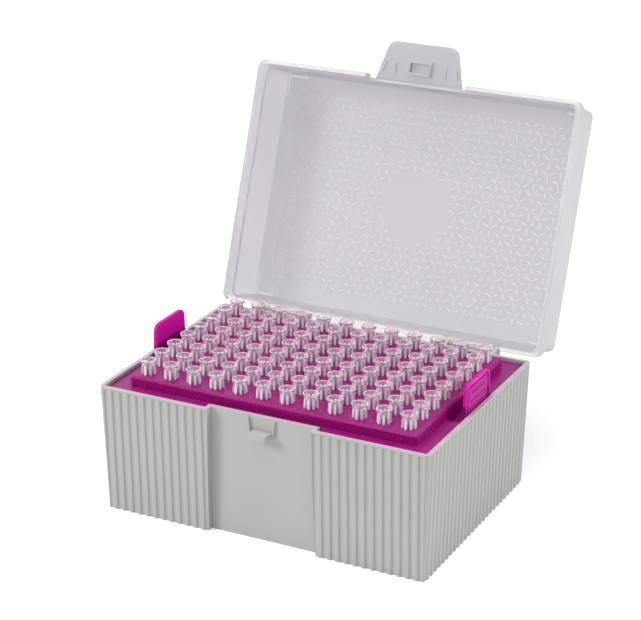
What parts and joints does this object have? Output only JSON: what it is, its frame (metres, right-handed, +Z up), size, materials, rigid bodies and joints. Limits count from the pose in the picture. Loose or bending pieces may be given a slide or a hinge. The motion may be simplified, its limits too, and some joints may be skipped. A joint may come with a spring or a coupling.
{
  "type": "box of pipette tips",
  "caption": "Hinged rectangular box holding a raised grid of disposable pipette tips, with ribbed walls, finger tabs, a translucent lid and a folding latch.",
  "frame": {"origin": "middle of the base's underside, on the surface it stands on", "axes": "+Z up, +X along the long side to the right seen from the latch side, -Y towards the latch side, +Y towards the hinge"},
  "size_m": [0.1286, 0.1422, 0.1444],
  "materials": {
    "grey_plastic": "fine satin moulding",
    "magenta_plastic": "satin moulding",
    "clear_lid": "translucent, lightly frosted",
    "clear_tip": "translucent, smooth"
  },
  "bodies": {
    "base": {"base_box": "grey_plastic", "tip_plate": "magenta_plastic", "tips_column_01": "clear_tip", "tips_column_02": "clear_tip", "tips_column_03": "clear_tip", "tips_column_04": "clear_tip", "tips_column_05": "clear_tip", "tips_column_06": "clear_tip", "tips_column_07": "clear_tip", "tips_column_08": "clear_tip", "tips_column_09": "clear_tip", "tips_column_10": "clear_tip", "tips_column_11": "clear_tip", "tips_column_12": "clear_tip"},
    "lid": {"lid": "clear_lid"},
    "latch": {"latch_tab": "clear_lid"}
  },
  "joints": [
    {"name": "lid_hinge", "type": "hinge", "parent": "base", "child": "lid", "pos_m": [0, 0.0473, 0.0452], "axis": [1, 0, 0], "range_deg": [0, 110.3]},
    {"name": "latch_fold", "type": "hinge", "parent": "lid", "child": "latch", "pos_m": [0, 0.08059, 0.13044], "axis": [1, 0, 0], "range_deg": [0, 90]}
  ]
}
